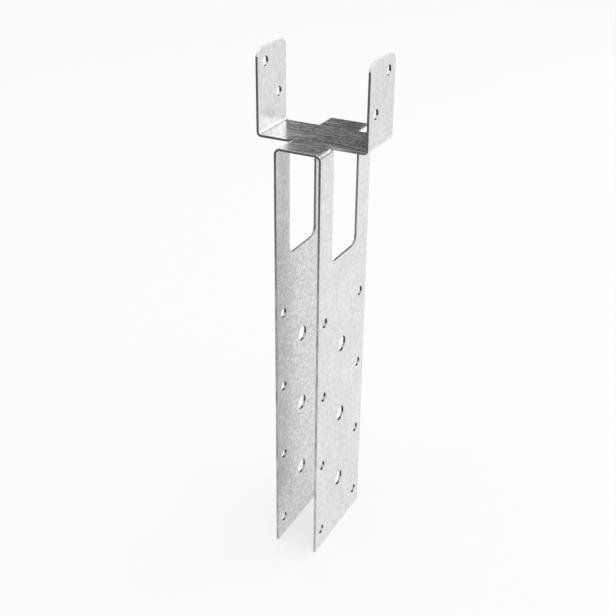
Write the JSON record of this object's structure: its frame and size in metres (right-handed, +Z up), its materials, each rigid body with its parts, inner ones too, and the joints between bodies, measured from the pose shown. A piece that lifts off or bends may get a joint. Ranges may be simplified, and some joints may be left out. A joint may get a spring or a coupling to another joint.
{
  "type": "ridge batten bracket",
  "caption": "Folded sheet-steel bracket: long punched legs hang from a level plate, and tongues cut from the legs turn up as wings that hold a ridge batten.",
  "frame": {"origin": "middle of the cradle seat, on the top face of the plate", "axes": "+Z up along the legs towards the wing tips, +X from the left wing to the right wing, +Y along the batten"},
  "size_m": [0.0534, 0.05, 0.247],
  "materials": {
    "steel": "hot-dip galvanised, satin"
  },
  "bodies": {
    "root": {"bracket": "steel"}
  },
  "joints": []
}
